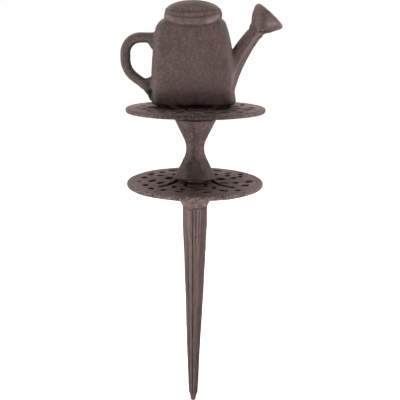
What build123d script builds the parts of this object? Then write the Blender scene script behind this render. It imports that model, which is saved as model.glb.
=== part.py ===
from build123d import *
import os
from math import acos, atan2, cos, hypot, pi, radians, sin

# Hose guide stake: a cast iron spike, two pierced discs, a hose roller that spins between them
# on a steel rod, and a watering can finial. Millimetres, +Z up. The origin is on the centre axis
# at the underside of the lower disc, which is soil level. The front faces -Y, and from there the
# can's handle is on the left and its spout on the right.

# Guide discs, two identical castings
DISC_D = 120.0
DISC_T = 4.2
DISC_EDGE_R = 1.7
RIM_W = 5.2
RIM_GROOVE_W = 1.4
RIM_GROOVE_DEPTH = 0.5
HUB_D = 19.0
HUB_H = 3.0

# Hose roller, an hourglass with a coned pocket in each end
ROLLER_H = 51.7
ROLLER_END_D = 36.6
ROLLER_WAIST_D = 15.9
ROLLER_WAIST_R = 18.4
ROLLER_EDGE_R = 0.9
ROLLER_LIFT = 2.9
POCKET_MOUTH_D = 25.0
POCKET_FLOOR_D = 20.4

# Rod and fasteners, M8 sizes
ROD_D = 8.0
ROD_CHAMFER = 0.8
ROD_IN_SPIKE = 20.0
ROD_IN_CAN = 18.0
NUT_AF = 13.0
NUT_H = 6.5
WASHER_D = 16.0
WASHER_T = 1.6
THRUST_D = 18.0
THRUST_T = 1.5

# Radial clearances, then the roller's play along the rod at each end
ROD_GAP = 0.2
THREAD_GAP = 0.05
RUN_GAP = 0.08
SPIGOT_GAP = 0.15
END_PLAY = 0.3
SOCKET_SLACK = 0.2
HOLE_BOTTOM_GAP = 1.0

# Ground spike: two crossed blades on a thick core, under a collar that carries the lower disc. The
# blades end inside the rounded point, at a share of its radius.
SPIKE_L = 215.3
BLADE_HALF_W = 11.25
BLADE_PARALLEL_L = 36.0
BLADE_END_HALF_W = 4.6
BLADE_T = 4.0
BLADE_END_T = 1.9
BLADE_FOOT_SHARE = 0.75
BLADE_EDGE_R = 0.6
BLADE_TURN = -20.0
POINT_L = 10.0
POINT_R = 2.7
CORE_TOP_D = 15.0
CORE_TOP_L = 32.0
CORE_MID_D = 12.0
CORE_MID_L = 56.0
COLLAR_D = 31.0
COLLAR_H = 10.5
COLLAR_TAPER_L = 8.0

# Watering can finial. Heights are above the underside of its body.
CAN_LIFT = 2.0
CAN_FOOT_INSET = 2.2
CAN_CROWN = 1.9
CAN_WALL_ROUND = 0.72
LID_CENTRE_X = -2.4
LID_HALF_W = 23.2
LID_HALF_DEPTH = 10.6
LID_SHOULDER = 76.6
LID_DOME_H = 9.3
LID_FOOT = 62.0
LIP_STEP = 0.7
COLLAR_BAND_STEP = 1.9
SPOUT_DEPTH_RATIO = 0.94
ROSE_DEPTH_RATIO = 0.84
HANDLE_HALF_W = 4.2
HANDLE_HALF_DEPTH = 4.6
HANDLE_TOP = 55.6
HANDLE_X = -59.4
HANDLE_UPPER_R = 13.0
HANDLE_LOWER_R = 18.0
HANDLE_LOWER_SLOPE = -35.6
HANDLE_LOWER_CORNER = 28.4
HANDLE_ROOT = 6.0
WEB_HALF_T = 3.6
WEB_CHAMFER = 1.6

# Openings of the pierced pattern, seen from above: centre x, y, length, width, direction in degrees
LEAVES = [
    (-20.8, 43.6, 11.0, 6.0, 25), (-30.8, 33.6, 7.5, 5.4, 60), (-40.7, 25.2, 9.2, 5.2, 62),
    (-31.6, 19.2, 6.4, 5.0, 0), (-45.6, 10.7, 7.0, 5.4, 110), (-23.4, 8.4, 9.6, 7.4, 40),
    (-37.7, -2.6, 11.4, 4.4, 62), (-30.0, -10.6, 8.6, 4.6, 55), (-42.4, -19.0, 6.6, 5.2, 90),
    (-17.6, -26.0, 7.4, 4.8, 100), (-26.4, -36.8, 7.0, 5.0, 60), (-49.0, -5.0, 4.8, 3.4, 80),
    (20.8, 43.2, 10.0, 5.4, -25), (31.0, 31.6, 6.0, 5.2, 0), (42.3, 26.4, 7.2, 4.6, 70),
    (29.6, 20.6, 6.4, 5.0, 80), (41.0, 16.6, 7.0, 4.8, 75), (34.4, 10.0, 8.4, 5.0, 75),
    (22.6, 6.0, 9.6, 7.6, -40), (47.2, -3.6, 8.8, 6.6, 70), (35.2, -8.2, 6.6, 5.0, 60),
    (25.2, -9.2, 8.0, 4.0, -25), (42.6, -18.6, 8.8, 6.8, 60), (15.8, -28.0, 9.0, 4.8, 75),
    (23.6, -37.6, 8.4, 4.8, -30), (-10.4, -34.0, 6.6, 3.8, 100), (2.6, -34.6, 8.4, 3.6, 5),
    (0.0, 43.6, 9.0, 5.0, 0), (-9.6, 32.6, 8.6, 4.8, 60), (9.6, 32.6, 8.6, 4.8, 120),
    (-18.4, 24.4, 7.0, 4.6, 130), (18.4, 24.4, 7.0, 4.6, 50), (0.0, 23.0, 7.0, 5.4, 90),
    (-13.0, -42.6, 7.6, 4.2, -20), (9.6, -44.0, 8.0, 4.0, 10), (35.6, -36.0, 6.4, 4.2, 45),
    (-36.6, -31.6, 7.0, 4.2, -50),
]
# Curved slots: start, a point on the way, end, width
SCROLLS = [
    ((-15.4, 1.0), (-19.6, -11.6), (-29.6, -24.4), 4.4),
    ((14.8, 0.6), (19.6, -13.6), (32.0, -26.6), 4.2),
    ((-6.8, -13.6), (0.8, -27.0), (8.4, -14.6), 3.2),
]

# Can body: height, left edge, right edge and half depth
CAN_SECTIONS = [
    (0.0, -35.8, 32.4, 10.6), (1.6, -37.2, 33.8, 12.0), (4.0, -37.8, 34.3, 12.8),
    (8.0, -37.7, 33.7, 13.4), (14.0, -37.7, 33.1, 13.9), (22.0, -37.6, 32.7, 14.4),
    (31.0, -37.1, 32.1, 14.7), (40.0, -36.3, 31.2, 14.6), (49.0, -35.6, 29.9, 14.1),
    (57.0, -34.8, 28.1, 13.2), (63.0, -33.6, 26.4, 12.1), (67.2, -31.4, 24.9, 10.7),
    (69.8, -28.9, 23.2, 9.0), (71.2, -26.2, 21.0, 7.4),
]
# Arcs across the front of the can's lid: height at the left end, the middle and the right end
BAND_LOW = (71.9, 66.5, 72.7)
BAND_HIGH = (75.6, 71.3, 77.0)
LIP_HIGH = (80.6, 76.3, 81.0)
LID_ARC_HALF_W = 25.5
# Spout: centre x, height, direction in degrees from +X, half width across the spout
SPOUT_SECTIONS = [
    (24.2, 12.0, 72, 9.0), (29.2, 26.6, 66, 8.4), (35.9, 40.2, 58, 7.6),
    (43.1, 51.6, 52, 6.9), (49.3, 59.6, 49, 6.2),
]
# Rose: distance along the spout's last direction, half width, shift towards the can
ROSE_SECTIONS = [
    (0.0, 6.2, 0.1), (3.0, 7.1, 0.8), (7.0, 9.1, 1.3), (11.0, 11.7, 1.3), (15.6, 13.9, 0.9),
    (18.2, 14.3, 0.4), (19.3, 13.6, 0.1), (19.9, 11.4, 0.0),
]
ROSE_DIRECTION = 48.0
# Web under the handle's foot, and the one inside its upper end: x and height
FOOT_WEB = [(-34, 1.6), (-39.0, 3.4), (-41.0, 8.0), (-44.2, 12.2), (-47.8, 14.8), (-45, 21), (-34, 25)]
TOP_WEB = [(-34, 56.0), (-43.5, 53.6), (-40.0, 51.0), (-37.2, 46.6), (-34, 44.0)]


# Heights of the stack on the rod, from the lower disc up
lower_washer_z = DISC_T
lower_nut_z = lower_washer_z + WASHER_T
lower_thrust_z = lower_nut_z + NUT_H
roller_z = DISC_T + ROLLER_LIFT
web_low = lower_thrust_z + THRUST_T + END_PLAY
pocket_depth = web_low - roller_z
roller_top = roller_z + ROLLER_H
web_high = roller_top - pocket_depth
upper_thrust_z = web_high + END_PLAY
upper_nut_z = upper_thrust_z + THRUST_T
upper_washer_z = upper_nut_z + NUT_H
upper_hub_z = upper_washer_z + WASHER_T
upper_disc_z = upper_hub_z + HUB_H
can_z = upper_disc_z + DISC_T + CAN_LIFT
socket_z = -HUB_H - SOCKET_SLACK
rod_low = socket_z - ROD_IN_SPIKE
rod_high = can_z + ROD_IN_CAN


def ring(outer_d, inner_r, low, height):
    """A flat ring on the axis, from height low upwards."""
    return extrude(Pos(0, 0, low) * (Circle(outer_d / 2) - Circle(inner_r)), height)


def turned(points):
    """A solid of revolution about Z from a closed outline of (radius, height) points."""
    outline = Polyline(*[(r, 0, z) for r, z in points], close=True)
    return revolve(make_face(outline), Axis.Z)


def make_disc(z):
    """One pierced guide disc whose underside is at z, with the locating hub under it."""
    plate = extrude(Pos(0, 0, z) * Circle(DISC_D / 2), DISC_T)
    plate = fillet(plate.edges(), DISC_EDGE_R)
    groove_r = DISC_D / 2 - RIM_W
    groove_z = z + DISC_T - RIM_GROOVE_DEPTH
    plate -= ring(2 * groove_r, groove_r - RIM_GROOVE_W, groove_z, RIM_GROOVE_DEPTH)
    cuts = Sketch()
    for x, y, length, width, angle in LEAVES:
        cuts += Pos(x, y) * Rot(0, 0, angle) * Ellipse(length / 2, width / 2)
    for start, middle, end, width in SCROLLS:
        cuts += SlotArc(ThreePointArc(start, middle, end), width)
    plate -= extrude(Pos(0, 0, z) * cuts, DISC_T)
    plate += extrude(Pos(0, 0, z) * Circle(HUB_D / 2), -HUB_H)
    bore_r = ROD_D / 2 + ROD_GAP
    plate -= extrude(Pos(0, 0, z - HUB_H) * Circle(bore_r), HUB_H + DISC_T)
    return plate


def make_roller():
    """The hourglass roller: two cones joined by a tangent arc at the waist."""
    half = ROLLER_H / 2
    end_r = ROLLER_END_D / 2
    waist_r = ROLLER_WAIST_D / 2
    centre_x = waist_r + ROLLER_WAIST_R
    reach = hypot(centre_x - end_r, half)
    turn = acos(ROLLER_WAIST_R / reach)
    towards_end = atan2(half, end_r - centre_x)
    tangent = towards_end + turn
    touch_x = centre_x + ROLLER_WAIST_R * cos(tangent)
    touch_z = ROLLER_WAIST_R * sin(tangent)
    middle = roller_z + half
    side = Line((end_r, 0, roller_z), (touch_x, 0, middle - touch_z))
    side += ThreePointArc(
        (touch_x, 0, middle - touch_z), (waist_r, 0, middle), (touch_x, 0, middle + touch_z)
    )
    side += Line((touch_x, 0, middle + touch_z), (end_r, 0, roller_top))
    side += Polyline((end_r, 0, roller_top), (0, 0, roller_top), (0, 0, roller_z), (end_r, 0, roller_z))
    body = revolve(make_face(side), Axis.Z)
    rims = body.edges().filter_by(GeomType.CIRCLE)
    rims = rims.filter_by(lambda e: e.radius > end_r - 0.01)
    body = fillet(rims, ROLLER_EDGE_R)
    mouth_r = POCKET_MOUTH_D / 2
    floor_r = POCKET_FLOOR_D / 2
    body -= turned([(0, roller_z), (mouth_r, roller_z), (floor_r, web_low), (0, web_low)])
    body -= turned([(0, roller_top), (mouth_r, roller_top), (floor_r, web_high), (0, web_high)])
    bore = Cylinder(ROD_D / 2 + RUN_GAP, ROLLER_H, align=(Align.CENTER, Align.CENTER, Align.MIN))
    return body - Pos(0, 0, roller_z) * bore


def make_nut(z):
    """A hexagon nut with its corners chamfered at both faces."""
    corner_r = NUT_AF / 2 / cos(radians(30))
    cham = corner_r - NUT_AF / 2
    blank = extrude(Pos(0, 0, z) * RegularPolygon(corner_r, 6), NUT_H)
    low, high = z, z + NUT_H
    cone = turned([
        (0, low), (NUT_AF / 2, low), (corner_r, low + cham / 2),
        (corner_r, high - cham / 2), (NUT_AF / 2, high), (0, high),
    ])
    return (blank & cone) - extrude(Pos(0, 0, z) * Circle(ROD_D / 2 + THREAD_GAP), NUT_H)


def make_washer(outer_d, z, thickness):
    """A flat washer with a loose bore on the rod."""
    return ring(outer_d, ROD_D / 2 + ROD_GAP, z, thickness)


def make_rod():
    """The steel stud that ties spike, discs and can together."""
    rod = extrude(Pos(0, 0, rod_low) * Circle(ROD_D / 2), rod_high - rod_low)
    return chamfer(rod.edges().filter_by(GeomType.CIRCLE), ROD_CHAMFER)


def make_blade():
    """One blade of the spike in the XZ plane: parallel, then tapering, and thinner towards the point."""
    low = -SPIKE_L
    right = [(BLADE_HALF_W, 0), (BLADE_HALF_W, -BLADE_PARALLEL_L), (BLADE_END_HALF_W, low + POINT_L)]
    right.append((POINT_R * BLADE_FOOT_SHARE, low + POINT_R / 2))
    left = [(-x, z) for x, z in reversed(right)]
    outline = Polyline(*right, *left, close=True)
    blade = extrude(Plane.XZ * make_face(outline), BLADE_T, both=True)
    half_t, end_half_t = BLADE_T / 2, BLADE_END_T / 2
    wedge = Polyline((-half_t, 0), (half_t, 0), (end_half_t, low), (-end_half_t, low), close=True)
    blade &= extrude(Plane.YZ * make_face(wedge), 2 * BLADE_HALF_W, both=True)
    faces = blade.faces().sort_by(Axis.Y)
    rim = faces[0].edges() + faces[-1].edges()
    rim = rim.filter_by(lambda e: e.center().Z < 0)
    return fillet(rim, BLADE_EDGE_R)


def make_core():
    """The round core that the blades cross on, with the rounded point at its lower end."""
    round_z = POINT_R - SPIKE_L
    mid = POINT_R * cos(pi / 4)
    side = Polyline(
        (0, 0, 0), (CORE_TOP_D / 2, 0, 0), (CORE_TOP_D / 2, 0, -CORE_TOP_L),
        (CORE_MID_D / 2, 0, -CORE_MID_L), (POINT_R, 0, round_z),
    )
    side += ThreePointArc((POINT_R, 0, round_z), (mid, 0, round_z - mid), (0, 0, -SPIKE_L))
    side += Line((0, 0, -SPIKE_L), (0, 0, 0))
    return revolve(make_face(side), Axis.Z)


def make_spike():
    """The cast spike: crossed blades, core, tapered collar, socket for the disc's hub, tapped hole."""
    collar_r = COLLAR_D / 2
    taper_low = -COLLAR_H - COLLAR_TAPER_L
    collar = turned([
        (0, 0), (collar_r, 0), (collar_r, -COLLAR_H), (BLADE_HALF_W, taper_low), (0, taper_low),
    ])
    blade = make_blade()
    spike = Rot(0, 0, BLADE_TURN) * (blade + Rot(0, 0, 90) * blade + make_core()) + collar
    socket_r = HUB_D / 2 + SPIGOT_GAP
    spike -= extrude(Circle(socket_r), socket_z)
    hole_depth = ROD_IN_SPIKE + HOLE_BOTTOM_GAP
    return spike - extrude(Pos(0, 0, socket_z) * Circle(ROD_D / 2 + THREAD_GAP), -hole_depth)


def upright(x, height, direction):
    """A plane across the spout at a point of the can's centre plane."""
    along = (cos(radians(direction)), 0, sin(radians(direction)))
    return Plane(origin=(x, 0, can_z + height), x_dir=(0, 1, 0), z_dir=along)


def lid_arc(heights):
    """An arc across the can's face through its heights at the left, the middle and the right."""
    left, middle, right = heights
    return ThreePointArc(
        (LID_CENTRE_X - LID_ARC_HALF_W, can_z + left),
        (LID_CENTRE_X, can_z + middle),
        (LID_CENTRE_X + LID_ARC_HALF_W, can_z + right),
    )


def below_arc(heights):
    """Everything of the lid below an arc, as a block cut through from front to back."""
    left, _, right = heights
    x_low, x_high = LID_CENTRE_X - LID_ARC_HALF_W, LID_CENTRE_X + LID_ARC_HALF_W
    foot = can_z + LID_FOOT
    outline = lid_arc(heights)
    outline += Polyline((x_high, can_z + right), (x_high, foot), (x_low, foot), (x_low, can_z + left))
    return extrude(Plane.XZ * make_face(outline), 2 * LID_HALF_DEPTH, both=True)


def lid_form(step):
    """The lid's oval wall and dome, grown by step all round."""
    wide, deep, dome = LID_HALF_W + 0.5 * step, LID_HALF_DEPTH + step, LID_DOME_H + 0.5 * step
    shoulder = can_z + LID_SHOULDER
    wall = extrude(Pos(LID_CENTRE_X, 0, can_z + LID_FOOT) * Ellipse(wide, deep), LID_SHOULDER - LID_FOOT)
    cap = Pos(LID_CENTRE_X, 0, shoulder) * scale(Sphere(1), by=(wide, deep, dome))
    return wall + cap


def make_lid():
    """The lid: dome, raised lip in front and behind, and the collar band round its foot."""
    band = (lid_form(COLLAR_BAND_STEP) & below_arc(BAND_HIGH)) - below_arc(BAND_LOW)
    lip = lid_form(LIP_STEP) & below_arc(LIP_HIGH)
    return lid_form(0) + lip + band


def can_outline(left, right, half_depth):
    """A level section of the can: crowned front and back faces between well rounded ends."""
    end = half_depth - CAN_CROWN
    middle = (left + right) / 2
    outline = ThreePointArc((left, -end), (middle, -half_depth), (right, -end))
    outline += Line((right, -end), (right, end))
    outline += ThreePointArc((right, end), (middle, half_depth), (left, end))
    outline += Line((left, end), (left, -end))
    face = make_face(outline)
    return fillet(face.vertices(), end * CAN_WALL_ROUND)


def make_can_body():
    """The can's body, lofted through level sections, on a foot set in from its base."""
    rings = []
    for height, left, right, half_depth in CAN_SECTIONS:
        rings.append(Pos(0, 0, can_z + height) * can_outline(left, right, half_depth))
    _, left, right, half_depth = CAN_SECTIONS[0]
    inset = CAN_FOOT_INSET
    foot = can_outline(left + inset, right - inset, half_depth - inset)
    return loft(rings) + extrude(Pos(0, 0, can_z - CAN_LIFT) * foot, CAN_LIFT)


def make_spout():
    """The spout and its rose, lofted through ovals across the spout."""
    rings = []
    for x, height, direction, half in SPOUT_SECTIONS:
        rings.append(upright(x, height, direction) * Ellipse(SPOUT_DEPTH_RATIO * half, half))
    tube = loft(rings)
    x, height, _, neck = SPOUT_SECTIONS[-1]
    along, across = radians(ROSE_DIRECTION), radians(ROSE_DIRECTION + 90)
    rings = []
    for distance, half, shift in ROSE_SECTIONS:
        centre_x = x + distance * cos(along) + shift * cos(across)
        centre_h = height + distance * sin(along) + shift * sin(across)
        oval = Ellipse(ROSE_DEPTH_RATIO * half, half)
        rings.append(upright(centre_x, centre_h, ROSE_DIRECTION) * oval)
    return tube + loft(rings)


def web(points):
    """A flat web in the can's centre plane."""
    outline = Polyline(*[(x, can_z + height) for x, height in points], close=True)
    flat = extrude(Plane.XZ * make_face(outline), WEB_HALF_T, both=True)
    faces = flat.faces().sort_by(Axis.Y)
    return chamfer(faces[0].edges() + faces[-1].edges(), WEB_CHAMFER)


def make_handle():
    """The handle's loop: an oval bar along three straight runs and two arcs, with its webs."""
    inside_x = CAN_SECTIONS[3][1] + HANDLE_ROOT
    slope = radians(HANDLE_LOWER_SLOPE)
    run = inside_x - HANDLE_X
    points = [
        (inside_x, 0, can_z + HANDLE_TOP),
        (HANDLE_X, 0, can_z + HANDLE_TOP),
        (HANDLE_X, 0, can_z + HANDLE_LOWER_CORNER),
        (inside_x, 0, can_z + HANDLE_LOWER_CORNER + run * sin(slope) / cos(slope)),
    ]
    path = FilletPolyline(*points, radius=[HANDLE_UPPER_R, HANDLE_LOWER_R])
    start = Plane(origin=points[0], x_dir=(0, 0, 1), z_dir=(-1, 0, 0))
    bar = sweep(start * Ellipse(HANDLE_HALF_W, HANDLE_HALF_DEPTH), path)
    return bar + web(FOOT_WEB) + web(TOP_WEB)


def make_can():
    """The can finial as one casting, with a tapped hole in its foot."""
    can = make_can_body() + make_lid() + make_spout() + make_handle()
    depth = CAN_LIFT + ROD_IN_CAN + HOLE_BOTTOM_GAP
    return can - extrude(Pos(0, 0, can_z - CAN_LIFT) * Circle(ROD_D / 2 + THREAD_GAP), depth)


PARTS = {
    "ground_spike": make_spike,
    "lower_disc": lambda: make_disc(0),
    "lower_disc_washer": lambda: make_washer(WASHER_D, lower_washer_z, WASHER_T),
    "lower_disc_nut": lambda: make_nut(lower_nut_z),
    "lower_thrust_washer": lambda: make_washer(THRUST_D, lower_thrust_z, THRUST_T),
    "hose_roller": make_roller,
    "upper_thrust_washer": lambda: make_washer(THRUST_D, upper_thrust_z, THRUST_T),
    "upper_disc_nut": lambda: make_nut(upper_nut_z),
    "upper_disc_washer": lambda: make_washer(WASHER_D, upper_washer_z, WASHER_T),
    "upper_disc": lambda: make_disc(upper_disc_z),
    "centre_rod": make_rod,
    "watering_can": make_can,
}

os.makedirs("parts", exist_ok=True)
for name, make in PARTS.items():
    export_step(make(), f"parts/{name}.step")
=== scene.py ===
import math

import bmesh
import bpy
import numpy as np
from mathutils import Matrix, Vector, noise


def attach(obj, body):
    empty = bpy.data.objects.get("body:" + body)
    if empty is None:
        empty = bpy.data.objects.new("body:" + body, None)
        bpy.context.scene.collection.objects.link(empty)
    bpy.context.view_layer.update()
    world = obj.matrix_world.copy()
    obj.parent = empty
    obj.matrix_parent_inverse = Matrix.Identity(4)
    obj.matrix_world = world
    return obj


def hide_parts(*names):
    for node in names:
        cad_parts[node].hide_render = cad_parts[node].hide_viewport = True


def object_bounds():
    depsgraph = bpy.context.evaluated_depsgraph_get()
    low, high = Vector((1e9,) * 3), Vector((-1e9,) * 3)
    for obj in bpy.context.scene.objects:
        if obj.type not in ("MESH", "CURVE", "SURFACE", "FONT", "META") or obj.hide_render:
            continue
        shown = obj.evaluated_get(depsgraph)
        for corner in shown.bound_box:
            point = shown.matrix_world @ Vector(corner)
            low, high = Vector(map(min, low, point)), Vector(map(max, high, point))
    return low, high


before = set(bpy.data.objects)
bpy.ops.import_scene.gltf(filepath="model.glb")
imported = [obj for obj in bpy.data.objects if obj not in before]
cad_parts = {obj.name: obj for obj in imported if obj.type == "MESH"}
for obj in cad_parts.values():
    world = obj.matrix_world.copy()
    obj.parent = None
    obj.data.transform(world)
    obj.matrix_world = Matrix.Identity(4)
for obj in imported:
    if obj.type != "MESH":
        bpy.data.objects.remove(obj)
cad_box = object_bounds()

# Hose guide stake in brown cast iron. The castings are close meshes made from the frame's own nodes,
# softened at their edges and roughened as sand castings are. The fasteners keep their shape.
# Lengths are in millimetres, apart from those of the camera's place and the lights, in metres.

MM = 0.001
STAKE, ROLLER = "stake", "roller"

# Camera, fitted to the edges of both discs in the photograph
CAMERA_BACK = 0.5384
CAMERA_HEIGHT = 0.1259
CAMERA_PITCH = math.radians(14.554)
CAMERA_ROLL = math.radians(0.343)
CAMERA_CLIP = 0.01
CAMERA_FOCAL_PX = 622.0
AXIS_PX = 194.9
FRAME_PX = 400
SENSOR_MM = 36.0

# Soft lights: name, place, what each is aimed at, width and power in watts.
# The last one lies just over the floor in front of the stake and shines up, as a pale floor does.
LIT_POINT = (0, 0, 0.03)
LIGHTS = [
    ("back_left", (-0.50, 0.35, 1.0), LIT_POINT, 0.5, 5.8),
    ("back_right", (0.50, 0.35, 1.0), LIT_POINT, 0.5, 5.8),
    ("left_softbox", (-1.0, -0.20, 0.10), LIT_POINT, 0.6, 7.2),
    ("right_softbox", (1.0, -0.16, 0.10), LIT_POINT, 0.6, 7.6),
    ("floor_bounce", (0, -0.80, -0.20), (0, -0.80, 1.0), 0.8, 11.0),
]
# The world's level, where it isn't seen directly or in a reflection
AMBIENT = 0.15

# The floor reaches 30 m each way, just under the spike's point. Its glow is what it adds, where the
# camera sees it, to the light that falls on it.
FLOOR_HALF = 30000.0
FLOOR_GAP = 0.2
FLOOR_WHITE = 0.85
FLOOR_GLOW = 0.88

# Each casting's grid, and the passes of smoothing that round its edges
GRIDS = {
    "ground_spike": (0.42, 3),
    "lower_disc": (0.50, 4),
    "upper_disc": (0.50, 4),
    "hose_roller": (0.50, 4),
    "watering_can": (0.52, 4),
}
# Vertices nearer than this are welded, and a smoothing pass moves one this share of the way
WELD = 0.001
SMOOTHING = 0.5

# The castings' skins: lump sizes and how high the lumps stand
SKIN = [(16.0, 0.15), (4.0, 0.09), (1.6, 0.05)]
ROUGH_SKIN = [(16.0, 0.15), (4.0, 0.12), (1.6, 0.09)]

# Noise with another seed is read this far away, in lumps
SEED_STEPS = (17.3, 5.1, 9.7)

# Heights above the lower disc's underside, the frame's own zero
CAN_BASE = 70.9
ROLLER_LOW, ROLLER_HIGH = 7.1, 58.8


# Meshes

def welded_copy(node, name):
    """A new object with a closed copy of a node's mesh."""
    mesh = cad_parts[node].data.copy()
    mesh.materials.clear()
    work = bmesh.new()
    work.from_mesh(mesh)
    bmesh.ops.remove_doubles(work, verts=work.verts, dist=WELD * MM)
    work.to_mesh(mesh)
    work.free()
    obj = bpy.data.objects.new(name, mesh)
    bpy.context.scene.collection.objects.link(obj)
    return obj


def settle_modifiers(obj):
    """Applies an object's modifiers to its mesh."""
    bpy.context.view_layer.update()
    seen = obj.evaluated_get(bpy.context.evaluated_depsgraph_get())
    mesh = bpy.data.meshes.new_from_object(seen)
    obj.modifiers.clear()
    obj.data = mesh
    return obj


def add_smoothing(obj, passes):
    """Adds a smoothing modifier to an object."""
    soft = obj.modifiers.new("soft", "SMOOTH")
    soft.factor = SMOOTHING
    soft.iterations = passes
    return soft


def casting(node):
    """The visible casting's first mesh: the node's own, rebuilt on an even grid with softer edges."""
    voxel, passes = GRIDS[node]
    obj = welded_copy(node, node + "_casting")
    grid = obj.modifiers.new("grid", "REMESH")
    grid.mode = "VOXEL"
    grid.voxel_size = voxel * MM
    add_smoothing(obj, passes)
    return settle_modifiers(obj)


def vertex_rows(obj, field):
    """A field of an object's vertices that has three values each, as an array of rows."""
    flat = np.empty(len(obj.data.vertices) * 3, np.float32)
    obj.data.vertices.foreach_get(field, flat)
    return flat.reshape(-1, 3).astype(float)


def points_of(obj):
    """The places of an object's vertices."""
    return vertex_rows(obj, "co")


def normals_of(obj):
    """The normals of an object's vertices."""
    return vertex_rows(obj, "normal")


def put_points(obj, points):
    """Writes moved vertices back."""
    obj.data.vertices.foreach_set("co", points.astype(np.float32).ravel())
    obj.data.update()


def lift_along(obj, height):
    """Moves each vertex along its normal by its own height."""
    put_points(obj, points_of(obj) + normals_of(obj) * height[:, None])


def between(values, low, high):
    """0 below low, 1 above high, and even steps between."""
    return np.clip((values - low) / (high - low), 0, 1)


def stroke(away, width):
    """A soft stroke of paint, from 1 at its middle line to 0 beyond its width."""
    return np.exp(-((away / (0.5 * width)) ** 2))


def noise_at(points, size, seed):
    """Smooth noise between about -1 and 1 at each point, with lumps of the given size."""
    shift = Vector([seed * step for step in SEED_STEPS])
    return np.array([noise.noise(Vector(p) / (size * MM) + shift) for p in points])


def roughen(obj, skin, seed):
    """Moves vertices along their normals by the noise of a skin."""
    points = points_of(obj)
    lift = np.zeros(len(points))
    for number, (size, height) in enumerate(skin):
        lift += height * MM * noise_at(points, size, seed + number)
    lift_along(obj, lift)


def tone(obj, share):
    """Paints the surface darker, to -1, or paler, to 1; much of this tone is painted shade and painted
    highlights. share holds a value for each vertex.
    """
    layer = obj.data.attributes.get("tone")
    if layer is None:
        layer = obj.data.attributes.new("tone", "FLOAT", "POINT")
    values = np.empty(len(obj.data.vertices), np.float32)
    layer.data.foreach_get("value", values)
    layer.data.foreach_set("value", np.clip(values + share, -1, 1).astype(np.float32))


def line_distance(across, up, line):
    """Distance of each (across, up) pair from a polyline."""
    spots = np.stack([across, up], axis=1)
    nearest = np.full(len(spots), np.inf)
    for start, end in zip(line, line[1:]):
        start, step = np.array(start), np.array(end) - np.array(start)
        along = np.clip((spots - start) @ step / (step @ step), 0, 1)
        nearest = np.minimum(nearest, np.linalg.norm(spots - start - along[:, None] * step, axis=1))
    return nearest


def draw_line(obj, line, width, height, shade):
    """Raises, or with a negative height sinks, a soft line on the front and the back of a piece."""
    points = points_of(obj) / MM
    near = line_distance(points[:, 0], points[:, 2], line)
    share = stroke(near, width) * np.abs(normals_of(obj)[:, 1]) ** 0.5
    lift_along(obj, height * MM * share)
    tone(obj, shade * share)


def draw_spot(obj, place, radius, height, shade):
    """Raises, or with a negative height sinks, a round spot on the surface."""
    away = np.linalg.norm(points_of(obj) / MM - np.array(place), axis=1)
    share = stroke(away, 2 * radius)
    lift_along(obj, height * MM * share)
    tone(obj, shade * share)


def soften_near(obj, spots, passes):
    """Rounds the surface inside spheres, given as (x, y, z, radius)."""
    points = points_of(obj) / MM
    share = np.zeros(len(points))
    for x, y, z, radius in spots:
        away = np.linalg.norm(points - np.array((x, y, z)), axis=1) / radius
        share = np.maximum(share, np.clip(2.0 - 2.0 * away, 0, 1))
    group = obj.vertex_groups.new(name="soft")
    for index in np.nonzero(share)[0]:
        group.add([int(index)], float(share[index]), "REPLACE")
    add_smoothing(obj, passes).vertex_group = group.name
    settle_modifiers(obj)
    obj.vertex_groups.clear()


# Materials

IRON_PINK = (0.120, 0.076, 0.073)
IRON_OLIVE = (0.093, 0.068, 0.059)
# The paler colour serves worn edges and the tone's painted highlights, the darker one the tone's dark marks
# and painted shade
IRON_WEAR_AND_HIGHLIGHT = (0.270, 0.185, 0.170)
IRON_GRIME_AND_SHADE = (0.018, 0.010, 0.008)
IRON_SHEEN = (1.0, 0.92, 0.90)
STEEL = (0.16, 0.15, 0.14)
BRASS = (0.34, 0.24, 0.11)

# Sizes of the iron's colour patches, its mottle and its grain, and the relief of the last two
PATCH_SIZE, MOTTLE_SIZE, GRAIN_SIZE = 8.0, 2.4, 0.9
MOTTLE_RELIEF, GRAIN_RELIEF = 0.28, 0.12
# How far a crevice looks for what shades it, and with how many rays
CREVICE_REACH = 7.0
CREVICE_RAYS = 8
# The turned metals: size and relief of their marks, and their least and greatest roughness
MARK_SIZE, MARK_RELIEF = 1.2, 0.05
METAL_SMOOTH, METAL_ROUGH = 0.45, 0.60


def new_material(name):
    """An empty node material with its shader and node tree."""
    material = bpy.data.materials.new(name)
    material.use_nodes = True
    tree = material.node_tree
    return material, tree.nodes["Principled BSDF"], tree


def add(tree, kind, **values):
    """Adds a node. Values name its properties, or its inputs when given as in_NAME."""
    node = tree.nodes.new(kind)
    for key, value in values.items():
        if key.startswith("in_"):
            node.inputs[key[3:].replace("_", " ")].default_value = value
        else:
            setattr(node, key, value)
    return node


def opaque(colour):
    """A colour with full alpha, as the shader's sockets take it."""
    return (*colour, 1.0)


def grey(level):
    """A colour with all three channels alike."""
    return (level,) * 3


def times(colour, share):
    """A colour with each channel multiplied by share."""
    return tuple(share * channel for channel in colour)


def ramp(tree, source, low, high, colour_low, colour_high):
    """Goes from one colour to another as a socket goes from low to high."""
    node = tree.nodes.new("ShaderNodeValToRGB")
    node.color_ramp.elements[0].position = low
    node.color_ramp.elements[0].color = opaque(colour_low)
    node.color_ramp.elements[1].position = high
    node.color_ramp.elements[1].color = opaque(colour_high)
    tree.links.new(source, node.inputs["Fac"])
    return node.outputs["Color"]


def blend_colour(tree, mode, factor, base, top):
    """Mixes two colour sockets or values."""
    node = add(tree, "ShaderNodeMix", data_type="RGBA", blend_type=mode)
    for index, value in ((0, factor), (6, base), (7, top)):
        if isinstance(value, bpy.types.NodeSocket):
            tree.links.new(value, node.inputs[index])
        else:
            node.inputs[index].default_value = value
    return node.outputs[2]


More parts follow.
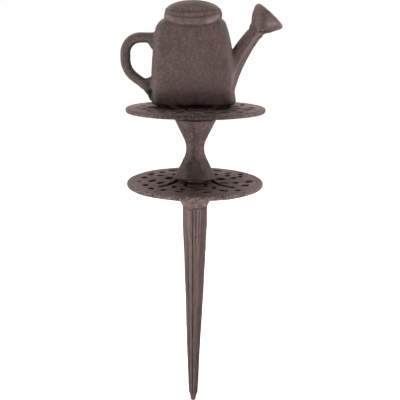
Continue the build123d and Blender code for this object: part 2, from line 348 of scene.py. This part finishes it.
def noise_texture(tree, size, detail, stretch=1.0, harshness=0.6):
    """A noise in the piece's own space. A stretch above 1 draws it out along Z."""
    where = add(tree, "ShaderNodeTexCoord")
    scaled = add(tree, "ShaderNodeMapping", in_Scale=(1.0, 1.0, 1.0 / stretch))
    tree.links.new(where.outputs["Object"], scaled.inputs["Vector"])
    node = add(tree, "ShaderNodeTexNoise", in_Scale=1.0 / (size * MM), in_Detail=detail)
    node.inputs["Roughness"].default_value = harshness
    tree.links.new(scaled.outputs["Vector"], node.inputs["Vector"])
    return node.outputs["Fac"]


def crevices(tree, reach):
    """How open the surface is to its surroundings, from 0 in a deep crevice to 1."""
    node = add(tree, "ShaderNodeAmbientOcclusion", samples=CREVICE_RAYS, in_Distance=reach * MM)
    return node.outputs["AO"]


def tone_share(tree, end):
    """How far a piece's tone goes towards one of its ends, -1 or 1, as a factor from 0 to 1."""
    painted = add(tree, "ShaderNodeAttribute", attribute_name="tone")
    share = add(tree, "ShaderNodeMapRange", in_From_Min=0.0, in_From_Max=end)
    tree.links.new(painted.outputs["Fac"], share.inputs["Value"])
    return share.outputs["Result"]


def iron_colour(tree, mottle, grain, stretch, pale, patchy, reach):
    """Pinkish and olive patches, painted shade in crevices and hollows, paler worn edges, and the piece's
    tone, which carries painted shade and highlights.
    """
    patches = noise_texture(tree, PATCH_SIZE, 4.0, stretch)
    colour = ramp(tree, patches, 0.38, 0.64, times(IRON_OLIVE, pale), times(IRON_PINK, pale))
    edges = add(tree, "ShaderNodeNewGeometry").outputs["Pointiness"]
    for tint in (
        ramp(tree, mottle, 0.3, 0.72, grey(1.0 - 0.27 * patchy), grey(1.0 + 0.24 * patchy)),
        ramp(tree, grain, 0.32, 0.70, grey(0.76), (1.22, 1.21, 1.20)),
        # The occlusion's and the hollows' darkening are painted shade
        ramp(tree, crevices(tree, reach), 0.35, 0.92, (0.16, 0.15, 0.15), grey(1)),
        ramp(tree, edges, 0.41, 0.49, (0.35, 0.32, 0.32), grey(1)),
    ):
        colour = blend_colour(tree, "MULTIPLY", 1.0, colour, tint)
    wear = add(tree, "ShaderNodeMath", operation="MULTIPLY")
    tree.links.new(ramp(tree, edges, 0.515, 0.60, grey(0), grey(1)), wear.inputs[0])
    tree.links.new(grain, wear.inputs[1])
    colour = blend_colour(tree, "MIX", wear.outputs[0], colour, opaque(times(IRON_WEAR_AND_HIGHLIGHT, pale)))
    # The tone's pale end is largely painted highlight, its dark end largely painted shade
    colour = blend_colour(tree, "MIX", tone_share(tree, 1.0), colour, opaque(IRON_WEAR_AND_HIGHLIGHT))
    return blend_colour(tree, "MIX", tone_share(tree, -1.0), colour, opaque(IRON_GRIME_AND_SHADE))


def iron_material(name, stretch=1.0, pale=1.0, patchy=1.0, reach=CREVICE_REACH, gleam=0.20):
    """Brown cast iron with a rough skin. pale brightens its colours and patchy deepens its mottle."""
    material, shader, tree = new_material(name)
    links = tree.links
    mottle = noise_texture(tree, MOTTLE_SIZE, 4.0, stretch)
    grain = noise_texture(tree, GRAIN_SIZE, 3.0, stretch)
    links.new(iron_colour(tree, mottle, grain, stretch, pale, patchy, reach), shader.inputs["Base Color"])
    links.new(ramp(tree, mottle, 0.3, 0.7, grey(0.46), grey(0.66)), shader.inputs["Roughness"])
    shader.inputs["Metallic"].default_value = 0.0
    shader.inputs["Specular IOR Level"].default_value = gleam
    shader.inputs["Specular Tint"].default_value = opaque(IRON_SHEEN)
    coarse = add(tree, "ShaderNodeBump", in_Strength=0.5, in_Distance=MOTTLE_RELIEF * MM)
    fine = add(tree, "ShaderNodeBump", in_Strength=0.4, in_Distance=GRAIN_RELIEF * MM)
    links.new(mottle, coarse.inputs["Height"])
    links.new(grain, fine.inputs["Height"])
    links.new(coarse.outputs["Normal"], fine.inputs["Normal"])
    links.new(fine.outputs["Normal"], shader.inputs["Normal"])
    return material


def metal_material(name, colour):
    """A plated or turned metal with faint turning marks."""
    material, shader, tree = new_material(name)
    links = tree.links
    marks = noise_texture(tree, MARK_SIZE, 4.0, harshness=0.5)
    links.new(ramp(tree, marks, 0.3, 0.7, times(colour, 0.8), colour), shader.inputs["Base Color"])
    gloss = ramp(tree, marks, 0.3, 0.7, grey(METAL_SMOOTH), grey(METAL_ROUGH))
    links.new(gloss, shader.inputs["Roughness"])
    shader.inputs["Metallic"].default_value = 1.0
    bump = add(tree, "ShaderNodeBump", in_Strength=0.2, in_Distance=MARK_RELIEF * MM)
    links.new(marks, bump.inputs["Height"])
    links.new(bump.outputs["Normal"], shader.inputs["Normal"])
    return material


# Pieces

def dress(obj, node, body, material):
    """Gives a finished casting its material and its place in the frame."""
    obj.data.shade_smooth()
    obj.data.materials.clear()
    obj.data.materials.append(material)
    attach(obj, body)
    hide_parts(node)


# The spike's blades, as the frame holds them: their turn about the axis, thickness and half width.
# The length of full width, then the length and half width where the point starts.
BLADE_TURN_DEG = -20.0
BLADE_T, BLADE_END_T = 4.0, 1.9
BLADE_HALF_W, BLADE_PARALLEL_L = 11.25, 36.0
BLADE_END_HALF_W, BLADE_END_L = 4.6, 205.3
SPIKE_L = 215.3
COLLAR_L = 18.5
# How far the core reaches along a blade, as a share of the blade's half width, and how far past that
# a vertex still counts as on its side
CORE_SHARE, CORE_MARGIN = 0.62, 0.5
# What lies this near a blade's face counts as on it, and the core's side starts between these
# distances from the face. The spike's own tones set in between the last two lengths.
ON_FACE = 0.4
CORE_OFF_FACE = (0.3, 0.9)
UNDER_COLLAR = (COLLAR_L + 1.0, COLLAR_L + 4.0)

# Casting flutes down the core: their angles from one blade towards the next, width and depth.
# Between the two lengths they fade to a share of that depth.
FLUTE_ANGLES = (27.0, 52.0, 74.0)
FLUTE_W, FLUTE_DEPTH = 1.0, 0.6
FLUTE_FADE_FROM, FLUTE_FADE_TO = 42.0, 60.0
FLUTE_FADED = 0.35
# The flutes' depth varies in beads, by noise that is drawn out across the spike. The streaks' noise is
# drawn out along it.
BEAD_SHAPE = np.array((0.3, 0.3, 1.0))
BEAD_SIZE, BEAD_MEAN, BEAD_SWING = 1.6, 0.8, 0.6
STREAK_SHAPE = np.array((1.0, 1.0, 0.07))
STREAK_SIZE, STREAK_HEIGHT = 1.5, 0.10
FINE_STREAK_SIZE, FINE_STREAK_HEIGHT = 0.9, 0.12

# Strokes of tone on the spike, placed by the photograph: painted shade and painted highlights. The painted
# shade down a blade's side has its place and width as shares of the half width, and widens between two
# lengths.
SIDE_LINE_AT, SIDE_LINE_W, SIDE_LINE_WIDENS = 0.90, 0.26, 0.20
SIDE_LINE_FROM, SIDE_LINE_TO = 40.0, 90.0
# The painted highlight along that blade's root: its place as a share of the half width, and how wide it is
# off the blade's face and along the blade
ROOT_LINE_AT, ROOT_LINE_OFF_W, ROOT_LINE_ALONG_W = 0.66, 0.9, 1.8
# The painted shade in the root on the left: how far off the blade's face, its width, how far past the core
# it may reach, and where it sets in
LEFT_ROOT_OFF, LEFT_ROOT_W, LEFT_ROOT_MARGIN = 1.0, 1.5, 0.6
LEFT_ROOT_FROM, LEFT_ROOT_TO = 36.0, 44.0
# The painted shade at the right blade's end: how far in from the edge, and within what angle of the blade
RIGHT_END_IN, RIGHT_END_ANGLE = 0.7, 25.0
# The painted shade under the collar: how far below it, and its width
COLLAR_LINE_DROP, COLLAR_LINE_W = 2.0, 1.4
# flute, side_line, left_root, right_end and collar_line are painted shade; ridge, outer_face and root_line
# are painted highlights; all, streaks and collar_blotches are the iron's own tone
SPIKE_TONES = {
    "all": 0.04, "streaks": 0.12, "ridge": 0.22, "flute": -1.1,
    "outer_face": 0.13, "root_line": 0.35, "right_end": -0.55,
    "side_line": -1.2, "left_root": -1.8, "collar_blotches": 0.7, "collar_line": -0.5,
}

# The spike was cast a little crooked: how far its lower part leans to the left, and from where
LEAN, LEAN_FROM, LEAN_TO = 0.55, 95.0, 165.0


class SpikePlaces:
    """Where the spike's vertices lie against its blades and its collar."""

    def __init__(self, points):
        self.down = -points[:, 2] / MM
        self.out = np.hypot(points[:, 0], points[:, 1]) / MM
        self.angle = np.degrees(np.arctan2(points[:, 1], points[:, 0])) - BLADE_TURN_DEG
        self.from_blade = np.mod(self.angle, 90.0)
        # Of the four sides, two that lie opposite each other are fluted
        self.fluted = np.floor(self.angle / 90.0) % 2 == 1
        # The half of a side next to the blade that the side's angles start from
        self.leading = self.from_blade < 45.0
        nearest_blade = np.radians(np.minimum(self.from_blade, 90.0 - self.from_blade))
        half_t = 0.5 * (BLADE_T + (BLADE_END_T - BLADE_T) * self.down / SPIKE_L)
        narrowing = between(self.down, BLADE_PARALLEL_L, BLADE_END_L)
        self.half_w = BLADE_HALF_W + (BLADE_END_HALF_W - BLADE_HALF_W) * narrowing
        self.off_face = self.out * np.sin(nearest_blade) - half_t
        self.along_blade = self.out * np.cos(nearest_blade)
        self.on_blade = np.abs(self.off_face) < ON_FACE
        self.below_collar = between(self.down, *UNDER_COLLAR)

    def within_core(self, margin):
        """Whether each vertex is no further along its blade than the core reaches."""
        return self.along_blade < CORE_SHARE * self.half_w + margin


def flutes_and_ridges(points, at, fade):
    """How far each vertex lies in a flute, and how far on the ridges between the flutes."""
    flute = np.zeros(len(points))
    for centre in FLUTE_ANGLES:
        flute = np.maximum(flute, stroke(np.radians(at.from_blade - centre) * at.out, FLUTE_W))
    beads = BEAD_MEAN + BEAD_SWING * noise_at(points * BEAD_SHAPE, BEAD_SIZE, seed=14)
    on_core = between(at.off_face, *CORE_OFF_FACE) * at.within_core(CORE_MARGIN)
    flute *= on_core * at.below_collar * fade * beads * at.fluted
    ridge = (1 - flute) * on_core * at.below_collar * at.fluted
    return flute, ridge


def paint_blades(obj, at):
    """The painted shade and painted highlights along the spike's blades."""
    beside = at.fluted & at.leading
    root_line = stroke(at.off_face, ROOT_LINE_OFF_W) * beside
    root_line *= stroke(at.along_blade - ROOT_LINE_AT * at.half_w, ROOT_LINE_ALONG_W)
    outer_face = at.on_blade * (at.fluted != at.leading)
    right_end = (at.along_blade > at.half_w - RIGHT_END_IN) * (np.abs(at.angle) < RIGHT_END_ANGLE)
    painted = SPIKE_TONES["outer_face"] * outer_face + SPIKE_TONES["root_line"] * root_line
    tone(obj, at.below_collar * (painted + SPIKE_TONES["right_end"] * right_end))
    width = SIDE_LINE_W + SIDE_LINE_WIDENS * between(at.down, SIDE_LINE_FROM, SIDE_LINE_TO)
    side_line = at.on_blade * stroke(at.along_blade / at.half_w - SIDE_LINE_AT, width) * beside
    left_root = stroke(at.off_face - LEFT_ROOT_OFF, LEFT_ROOT_W) * (~at.fluted & at.leading)
    left_root *= between(at.down, LEFT_ROOT_FROM, LEFT_ROOT_TO) * at.within_core(LEFT_ROOT_MARGIN)
    painted = SPIKE_TONES["side_line"] * at.below_collar * side_line
    tone(obj, painted + SPIKE_TONES["left_root"] * left_root)


def paint_collar(obj, points, at):
    """Blotches on the collar and the painted shade under it."""
    blotches = noise_at(points, 2.4, seed=15) + 0.6 * noise_at(points, 1.1, seed=16)
    line = stroke(at.down - COLLAR_L - COLLAR_LINE_DROP, COLLAR_LINE_W)
    painted = SPIKE_TONES["collar_blotches"] * blotches * (1 - at.below_collar)
    tone(obj, painted + SPIKE_TONES["collar_line"] * line)


def make_spike(material):
    """The spike, with flutes in two of its four sides, streaks down it and a slight lean. Its flutes are
    painted with shade and the ridges between them with highlights.
    """
    obj = casting("ground_spike")
    points = points_of(obj)
    at = SpikePlaces(points)
    fade = 1 - (1 - FLUTE_FADED) * between(at.down, FLUTE_FADE_FROM, FLUTE_FADE_TO)
    flute, ridge = flutes_and_ridges(points, at, fade)
    streaks = noise_at(points * STREAK_SHAPE, STREAK_SIZE, seed=11)
    fine = noise_at(points * STREAK_SHAPE, FINE_STREAK_SIZE, seed=12)
    lift_along(obj, (STREAK_HEIGHT * streaks + FINE_STREAK_HEIGHT * fine * fade - FLUTE_DEPTH * flute) * MM)
    # The flutes get painted shade and the ridges between them painted highlights; the streaks are the iron's
    # own
    painted = SPIKE_TONES["all"] + SPIKE_TONES["streaks"] * fine
    tone(obj, painted + SPIKE_TONES["ridge"] * ridge + SPIKE_TONES["flute"] * flute)
    paint_blades(obj, at)
    paint_collar(obj, points, at)
    points = points_of(obj)
    points[:, 0] -= LEAN * MM * between(at.down, LEAN_FROM, LEAN_TO)
    put_points(obj, points)
    roughen(obj, SKIN, seed=1)
    dress(obj, "ground_spike", STAKE, material)


# On the discs, the rim starts between these radii, and its painted shade lies this wide over its front and
# back. Grinding left flash on it, whose high spots are paler and whose low ones are darker.
RIM_FROM, RIM_FULL = 58.2, 59.4
RIM_TONE_W = 80.0
FLASH_SIZE, FLASH_HEIGHT = 1.3, 0.16
FLASH_PALE, FLASH_DARK = 1.4, 0.9
# The radii between which the painted shade of the middle gives way to the painted highlight on the ends, and
# how blotchy each is. The blotches are large ones and a share of small ones.
MIDDLE_R, ENDS_R = 24.0, 54.0
MIDDLE_BLOTCHES, ENDS_BLOTCHES = 0.60, 0.25
LARGE_BLOTCH, SMALL_BLOTCH, SMALL_SHARE = 6.0, 2.5, 0.7
# Inside the rim, the holes' walls are where the surface's normal has less Z than this, and they are painted
# with shade
WALL_NORMAL_Z = 0.75
WALL_PAINTED_SHADE = -0.9
# The discs' tones follow the photograph: rim and middle are painted shade, ends painted highlight. A depth
# under 1 draws the middle's painted shade out towards the front and the back.
LOWER_DISC_LOOK = {"flash": 1.25, "rim": 0.0, "middle": -0.40, "ends": 0.50, "depth": 0.75}
UPPER_DISC_LOOK = {"flash": 0.35, "rim": -0.80, "middle": -0.65, "ends": 0.80, "depth": 0.4}


def make_disc(node, seed, look, material):
    """A pierced disc with a rough rim, painted shade on its rim, its middle and its holes' walls, and
    painted highlights on its ends.
    """
    obj = casting(node)
    points = points_of(obj)
    out = np.hypot(points[:, 0], points[:, 1]) / MM
    rim = between(out, RIM_FROM, RIM_FULL)
    flash = noise_at(points, FLASH_SIZE, seed + 20)
    lift_along(obj, FLASH_HEIGHT * MM * rim * flash)
    tone(obj, look["flash"] * rim * np.where(flash > 0, FLASH_PALE, FLASH_DARK) * flash)
    # The rim's painted shade, strongest over its front and back
    tone(obj, look["rim"] * rim * stroke(points[:, 0] / MM, RIM_TONE_W))
    # Painted shade over the middle and painted highlights on the ends, with blotches
    from_middle = np.hypot(points[:, 0], look["depth"] * points[:, 1]) / MM
    ends = between(from_middle, MIDDLE_R, ENDS_R)
    blotches = noise_at(points, LARGE_BLOTCH, seed + 30)
    blotches += SMALL_SHARE * noise_at(points, SMALL_BLOTCH, seed + 40)
    blotchy = MIDDLE_BLOTCHES + (ENDS_BLOTCHES - MIDDLE_BLOTCHES) * ends
    tone(obj, (1 - rim) * (look["middle"] * (1 - ends) + look["ends"] * ends + blotchy * blotches))
    # Painted shade in the holes' walls
    hole_wall = (out < RIM_FROM) * (np.abs(normals_of(obj)[:, 2]) < WALL_NORMAL_Z)
    tone(obj, WALL_PAINTED_SHADE * hole_wall)
    roughen(obj, ROUGH_SKIN, seed)
    dress(obj, node, STAKE, material)


# The roller's lower cone is painted with shade all round, fading out between two heights
ROLLER_DARK_TO, ROLLER_PLAIN_FROM = ROLLER_LOW + 10.0, ROLLER_LOW + 24.0
ROLLER_TONES = {"all": -0.15, "blotches": 0.38, "lower": -0.16}
# Its blotches are twice as tall as they are wide
BLOTCH_SHAPE, BLOTCH_SIZE = np.array((1.0, 1.0, 0.5)), 3.5
# Lines on its front and back: points (x, height), width, height of relief, tone.
# The first is the mould's parting line, the second a short flaw in the casting.
ROLLER_LINES = [
    ([(-0.6, ROLLER_LOW + 18.0), (-0.9, ROLLER_HIGH - 4.0)], 1.6, -0.30, -0.28),
    ([(-6.4, 21.6), (-2.8, 21.9)], 1.1, -0.4, -0.7),
]


def make_roller(material):
    """The roller, with its blotches, painted shade on its lower cone, and its lines."""
    obj = casting("hose_roller")
    points = points_of(obj)
    lower = 1 - between(points[:, 2] / MM, ROLLER_DARK_TO, ROLLER_PLAIN_FROM)
    blotches = noise_at(points * BLOTCH_SHAPE, BLOTCH_SIZE, seed=44)
    painted = ROLLER_TONES["all"] + ROLLER_TONES["blotches"] * blotches
    # The lower cone's painted shade
    tone(obj, painted + ROLLER_TONES["lower"] * lower)
    for line, width, height, shade in ROLLER_LINES:
        draw_line(obj, line, width, height, shade)
    roughen(obj, SKIN, seed=4)
    dress(obj, "hose_roller", ROLLER, material)


# On the can, heights are above its base. What is given with a y stands on both of its sides.

# Where the spout, the rose and the handle are blended into what carries them: x, y, height, radius
CAN_ROOTS = [
    (30, 9, 28, 12), (32, 8, 42, 13), (30, 8, 12, 8), (52, 0, 63, 9),
    (-36, 0, 56, 10), (-38, 0, 20, 9), (-45, 0, 21, 8),
]
ROOT_PASSES = 45

# Lines on its front and back: points (x, height), width, height of relief, tone
CAN_LINES = [
    # The body's edge beside the spout, filled and given a painted highlight, then the spout's own ridge with
    # a painted highlight along it
    ([(31.0, 22), (32.4, 34), (32.6, 46)], 4.0, 0.35, 0.22),
    ([(30.6, 18.9), (31.8, 25.6), (36.1, 36.2), (41.7, 45.6), (48.9, 55.7), (52.5, 59.1)], 2.4, 0.3, 0.45),
    # The rose's neck, its fold in painted shade and its corner with a painted highlight
    ([(48.4, 62.4), (52.5, 60.6), (57.5, 60.9)], 1.3, -0.5, -0.4),
    ([(55.4, 75.0), (55.4, 70.0), (55.1, 64.0)], 3.4, -0.5, -0.40),
    ([(59.5, 66.6), (64.5, 66.8)], 3.0, 0.2, 0.45),
    # The crack between the body and the handle's foot, painted with shade
    ([(-37.8, 12.0), (-37.5, 7.4), (-36.9, 3.6)], 2.6, -0.9, -1.2),
    # The band's two lines and the lid's line, sunk and painted with shade
    ([(-24.4, 68.7), (-19.5, 66.8), (-13, 65.3), (-4.8, 64.7), (3.3, 64.9), (10.6, 65.7), (17.1, 67.8)],
     1.4, -0.15, -0.24),
    ([(-18.7, 72.4), (-11.4, 71.0), (-3.2, 70.6), (4.9, 71.1), (13.0, 73.2)], 1.0, -0.05, -0.08),
    ([(-21.2, 77.3), (-16.3, 76.3), (-8.2, 75.7), (0.0, 75.6), (8.1, 76.4), (16.2, 78.1)],
     1.1, -0.15, -0.5),
    # The band's ends, with painted highlights
    ([(-24.1, 72.4), (-22.4, 70.6), (-19.5, 69.3)], 3.0, 0.1, 0.55),
    ([(9.9, 68.6), (14.8, 69.8), (18.8, 72.9)], 3.4, 0.1, 0.65),
]

# Spots: x, y, height, radius, height of relief, tone. Three are at the rose's neck: two raised knobs with
# painted highlights and a sunk one with painted shade. One is painted shade at the handle's foot and one is
# painted shade beside the spout.
CAN_SPOTS = [
    (51.4, 6.0, 61.8, 1.1, 0.6, 0.45),
    (55.2, 6.2, 61.6, 1.2, 0.8, 0.45),
    (53.4, 6.2, 60.4, 0.8, -0.3, -0.6),
    (-40.5, 4.0, 10.0, 5.0, 0.0, -0.45),
    (30.0, 13.0, 30.0, 13.0, 0.0, -0.14),
]

# Painted shade and painted highlights by height, that follow the photograph's shading
CAN_TONES = [
    (0, -0.15), (6, 0.0), (14, 0.14), (32, -0.12), (44, -0.10), (60, 0.0),
    (64, 0.0), (68, 0.12), (74, 0.06), (76, -0.03), (79, 0.10), (86, 0.10),
]
# The handle's inner side, painted with shade: the x that the handle lies left of, the middle of its opening
# as x and height, how squarely the surface faces that middle, and the painted shade
HANDLE_LEFT_OF = -37.0
HANDLE_HOLE = (-46.0, 36.5)
FACES_HOLE = (0.45, 0.85)
HANDLE_PAINTED_SHADE = -0.55
# Under the spout, painted with shade: the x where the spout leaves the body, its top, how squarely it faces
# down
SPOUT_X = (31.0, 35.0)
SPOUT_TOP = 62.0
FACES_DOWN = (0.30, 0.60)
SPOUT_PAINTED_SHADE = -0.50
# The painted shade along the right edge of the can's upper part
EDGE_RIGHT_OF, EDGE_ABOVE = 15.0, 40.0
FACES_RIGHT = (0.86, 0.97)
EDGE_PAINTED_SHADE = -0.35


def both_sides(rows):
    """Rows of x, y, height and more, each with its mirror image, measured from the frame's own zero."""
    return [(x, side, CAN_BASE + up, *rest) for x, y, up, *rest in rows for side in (y, -y)]


def shade_can(obj):
    """Painted shade and highlights by height, and painted shade inside the handle, under the spout and along
    the right edge.
    """
    points, normals = points_of(obj) / MM, normals_of(obj)
    across, up = points[:, 0], points[:, 2] - CAN_BASE
    heights, tones = zip(*CAN_TONES)
    tone(obj, np.interp(up, heights, tones))
    to_hole = np.array((HANDLE_HOLE[0], 0, CAN_BASE + HANDLE_HOLE[1])) - points
    to_hole[:, 1] = 0
    facing = np.sum(to_hole * normals, axis=1) / (np.linalg.norm(to_hole, axis=1) + 0.001)
    tone(obj, HANDLE_PAINTED_SHADE * between(facing, *FACES_HOLE) * (across < HANDLE_LEFT_OF))
    on_spout = between(across, *SPOUT_X) * (up < SPOUT_TOP)
    tone(obj, SPOUT_PAINTED_SHADE * on_spout * between(-normals[:, 2], *FACES_DOWN))
    on_edge = (across > EDGE_RIGHT_OF) * (up > EDGE_ABOVE)
    tone(obj, EDGE_PAINTED_SHADE * on_edge * between(normals[:, 0], *FACES_RIGHT))


def make_can(material):
    """The can: roots blended into the body, lines and spots on its sides, many of them painted shade and
    highlights, and its painted shading.
    """
    obj = casting("watering_can")
    soften_near(obj, both_sides(CAN_ROOTS), ROOT_PASSES)
    for line, width, height, shade in CAN_LINES:
        draw_line(obj, [(across, CAN_BASE + up) for across, up in line], width, height, shade)
    for x, y, z, radius, height, shade in both_sides(CAN_SPOTS):
        draw_spot(obj, (x, y, z), radius, height, shade)
    shade_can(obj)
    roughen(obj, SKIN, seed=5)
    dress(obj, "watering_can", STAKE, material)


def finish_node(node, material):
    """Gives a node that keeps its own shape its material."""
    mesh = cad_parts[node].data
    mesh.materials.clear()
    mesh.materials.append(material)


def make_pieces():
    """Every casting and fastener, each in its metal."""
    make_spike(iron_material("drawn_cast_iron", stretch=9.0, pale=1.45, reach=2.0))
    flat_iron = iron_material("flat_cast_iron", pale=1.35, patchy=1.9, gleam=0.08)
    make_disc("lower_disc", 2, LOWER_DISC_LOOK, flat_iron)
    make_disc("upper_disc", 3, UPPER_DISC_LOOK, flat_iron)
    make_roller(iron_material("patchy_cast_iron", patchy=1.9))
    make_can(iron_material("brown_cast_iron", patchy=1.3))
    steel = metal_material("weathered_steel", STEEL)
    brass = metal_material("dull_brass", BRASS)
    for node in ("lower_disc_washer", "lower_disc_nut", "upper_disc_nut", "upper_disc_washer", "centre_rod"):
        finish_node(node, steel)
    for node in ("lower_thrust_washer", "upper_thrust_washer"):
        finish_node(node, brass)


# Surroundings

def make_floor():
    """A plain pale floor at the spike's point, which shows white and keeps the stake's soft shadow."""
    half = FLOOR_HALF * MM
    mesh = bpy.data.meshes.new("floor")
    corners = [(-half, -half, 0), (half, -half, 0), (half, half, 0), (-half, half, 0)]
    mesh.from_pydata(corners, [], [(0, 1, 2, 3)])
    floor = bpy.data.objects.new("floor", mesh)
    floor.location.z = cad_box[0][2] - FLOOR_GAP * MM
    bpy.context.scene.collection.objects.link(floor)
    material, shader, tree = new_material("pale_floor")
    shader.inputs["Base Color"].default_value = opaque(grey(FLOOR_WHITE))
    shader.inputs["Roughness"].default_value = 0.9
    shader.inputs["Specular IOR Level"].default_value = 0.2
    shader.inputs["Emission Color"].default_value = opaque(grey(1))
    rays = add(tree, "ShaderNodeLightPath")
    glow = add(tree, "ShaderNodeMath", operation="MULTIPLY")
    glow.inputs[1].default_value = FLOOR_GLOW
    tree.links.new(rays.outputs["Is Camera Ray"], glow.inputs[0])
    tree.links.new(glow.outputs[0], shader.inputs["Emission Strength"])
    mesh.materials.append(material)


def make_world():
    """White wherever it is seen, directly or in a reflection, and a plain level of light elsewhere."""
    world = bpy.data.worlds.new("studio")
    bpy.context.scene.world = world
    world.use_nodes = True
    tree = world.node_tree
    sky = tree.nodes["Background"]
    sky.inputs["Color"].default_value = opaque(grey(1))
    rays = add(tree, "ShaderNodeLightPath")
    seen = rays.outputs["Is Camera Ray"]
    for other in ("Is Glossy Ray", "Is Transmission Ray"):
        either = add(tree, "ShaderNodeMath", operation="MAXIMUM")
        tree.links.new(seen, either.inputs[0])
        tree.links.new(rays.outputs[other], either.inputs[1])
        seen = either.outputs[0]
    level = add(tree, "ShaderNodeMix", data_type="FLOAT")
    level.inputs[2].default_value = AMBIENT
    level.inputs[3].default_value = 1.0
    tree.links.new(seen, level.inputs[0])
    tree.links.new(level.outputs[0], sky.inputs["Strength"])


def area_light(name, place, target, size, power):
    """A square soft light aimed at a point, out of the camera's sight."""
    lamp = bpy.data.lights.new(name, "AREA")
    lamp.shape = "SQUARE"
    lamp.size = size
    lamp.energy = power
    obj = bpy.data.objects.new(name, lamp)
    obj.location = place
    aim = Vector(target) - Vector(place)
    obj.rotation_euler = aim.to_track_quat("-Z", "Y").to_euler()
    obj.visible_camera = False
    bpy.context.scene.collection.objects.link(obj)


def make_camera():
    """The photograph's own view."""
    lens = bpy.data.cameras.new("camera")
    lens.sensor_width = SENSOR_MM
    lens.lens = CAMERA_FOCAL_PX / FRAME_PX * SENSOR_MM
    lens.shift_x = (FRAME_PX / 2 - AXIS_PX) / FRAME_PX
    lens.clip_start = CAMERA_CLIP
    camera = bpy.data.objects.new("camera", lens)
    turn = Matrix.Rotation(math.pi / 2 - CAMERA_PITCH, 4, "X") @ Matrix.Rotation(CAMERA_ROLL, 4, "Z")
    camera.matrix_world = Matrix.Translation((0, -CAMERA_BACK, CAMERA_HEIGHT)) @ turn
    bpy.context.scene.collection.objects.link(camera)
    bpy.context.scene.camera = camera


make_camera()
make_world()
for light in LIGHTS:
    area_light(*light)
make_floor()
make_pieces()
bpy.context.scene.view_settings.view_transform = "Standard"
